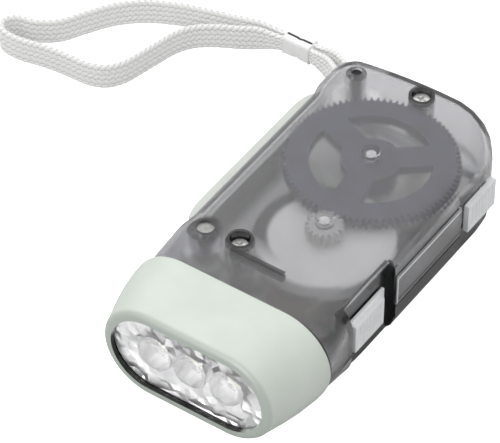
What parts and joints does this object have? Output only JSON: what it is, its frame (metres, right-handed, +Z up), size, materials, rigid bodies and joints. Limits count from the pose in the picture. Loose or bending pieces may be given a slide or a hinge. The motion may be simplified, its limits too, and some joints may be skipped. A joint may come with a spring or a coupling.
{
  "type": "hand-press dynamo flashlight",
  "caption": "Squeeze-lever dynamo flashlight: smoke-clear shell over gears and flywheel, pale oval head with eyed lens, thumb switch, lever lock and wrist strap.",
  "frame": {"origin": "on the flat base, midway along the body and on the housing's centre plane", "axes": "+Y from the lamp to the tail, +Z up from the base to the clear cover, +X to the thumb-switch side"},
  "size_m": [0.1409, 0.1201, 0.0268],
  "materials": {
    "smoke_shell": "clear smoke-tinted moulding, polished",
    "pale_plastic": "pale green-white moulding, satin gloss",
    "clear_lens": "clear moulded lens with three raised eyes",
    "reflector_silver": "vacuum-metallised",
    "led_epoxy": "clear epoxy dome",
    "circuit_board": "green solder resist",
    "bright_steel": "plated steel",
    "spring_wire": "drawn spring wire",
    "white_gear": "white acetal",
    "grey_gear": "blue-grey acetal",
    "flywheel_metal": "turned disc",
    "magnet_ferrite": "sintered ferrite",
    "core_iron": "laminated iron",
    "bobbin_nylon": "natural nylon",
    "copper_winding": "enamelled copper wire",
    "cell_can": "nickel-plated can",
    "contact_brass": "sheet brass",
    "pad_silver": "silver-grey moulding",
    "wire_red": "insulated wire",
    "wire_orange": "insulated wire",
    "wire_blue": "insulated wire",
    "pin_black": "blackened steel",
    "strap_braid": "flat woven braid",
    "clasp_white": "crimped band"
  },
  "bodies": {
    "housing": {"lower_shell": "smoke_shell", "upper_shell": "smoke_shell", "head_bezel": "pale_plastic", "lens": "clear_lens", "reflector": "reflector_silver", "led_left": "led_epoxy", "led_mid": "led_epoxy", "led_right": "led_epoxy", "led_board": "circuit_board", "control_board": "circuit_board", "case_screw_front": "bright_steel", "case_screw_rear": "bright_steel", "pivot_pin": "bright_steel", "gear_shaft": "bright_steel", "rotor_shaft": "bright_steel", "return_spring": "spring_wire", "stator_core": "core_iron", "coil_bobbin": "bobbin_nylon", "coil_winding": "copper_winding", "button_cell": "cell_can", "cell_contact_top": "contact_brass", "cell_contact_base": "contact_brass", "lamp_leads": "wire_red", "coil_leads": "wire_orange", "cell_leads": "wire_blue", "strap_pin": "pin_black", "strap_neck": "strap_braid", "strap_loop": "strap_braid", "strap_clasp": "clasp_white"},
    "lever": {"squeeze_lever": "pale_plastic"},
    "clutch": {"clutch_pinion": "white_gear"},
    "gear": {"drive_gear": "grey_gear"},
    "rotor": {"flywheel": "flywheel_metal", "rotor_pinion": "white_gear", "ring_magnet": "magnet_ferrite"},
    "switch": {"switch_slider": "pad_silver", "switch_wiper": "contact_brass"},
    "lock": {"lock_slider": "pad_silver"}
  },
  "joints": [
    {"name": "lever_swing", "type": "hinge", "parent": "housing", "child": "lever", "pos_m": [-0.01762, -0.01898, 0.0118], "axis": [0, 0, 1], "range_deg": [0, 24], "deforming": ["return_spring"]},
    {"name": "clutch_spin", "type": "hinge", "parent": "housing", "child": "clutch", "pos_m": [0.0006, 0.025, 0.0118], "axis": [0, 0, 1], "range_deg": [-262, 0]},
    {"name": "rotor_spin", "type": "hinge", "parent": "housing", "child": "rotor", "pos_m": [0.0038, -0.0003, 0.0163], "axis": [0, 0, 1], "continuous": true},
    {"name": "gear_spin", "type": "hinge", "parent": "housing", "child": "gear", "pos_m": [0.0006, 0.025, 0.0206], "axis": [0, 0, 1], "continuous": true},
    {"name": "switch_slide", "type": "slide", "parent": "housing", "child": "switch", "axis": [0, 1, 0], "range_m": [0, 0.003]},
    {"name": "lock_slide", "type": "slide", "parent": "housing", "child": "lock", "axis": [0, -1, 0], "range_m": [0, 0.0024]}
  ],
  "couplings": [
    {"joint": "clutch_spin", "follows": "lever_swing", "ratio": -10.9},
    {"joint": "gear_spin", "follows": "rotor_spin", "ratio": -0.2}
  ]
}
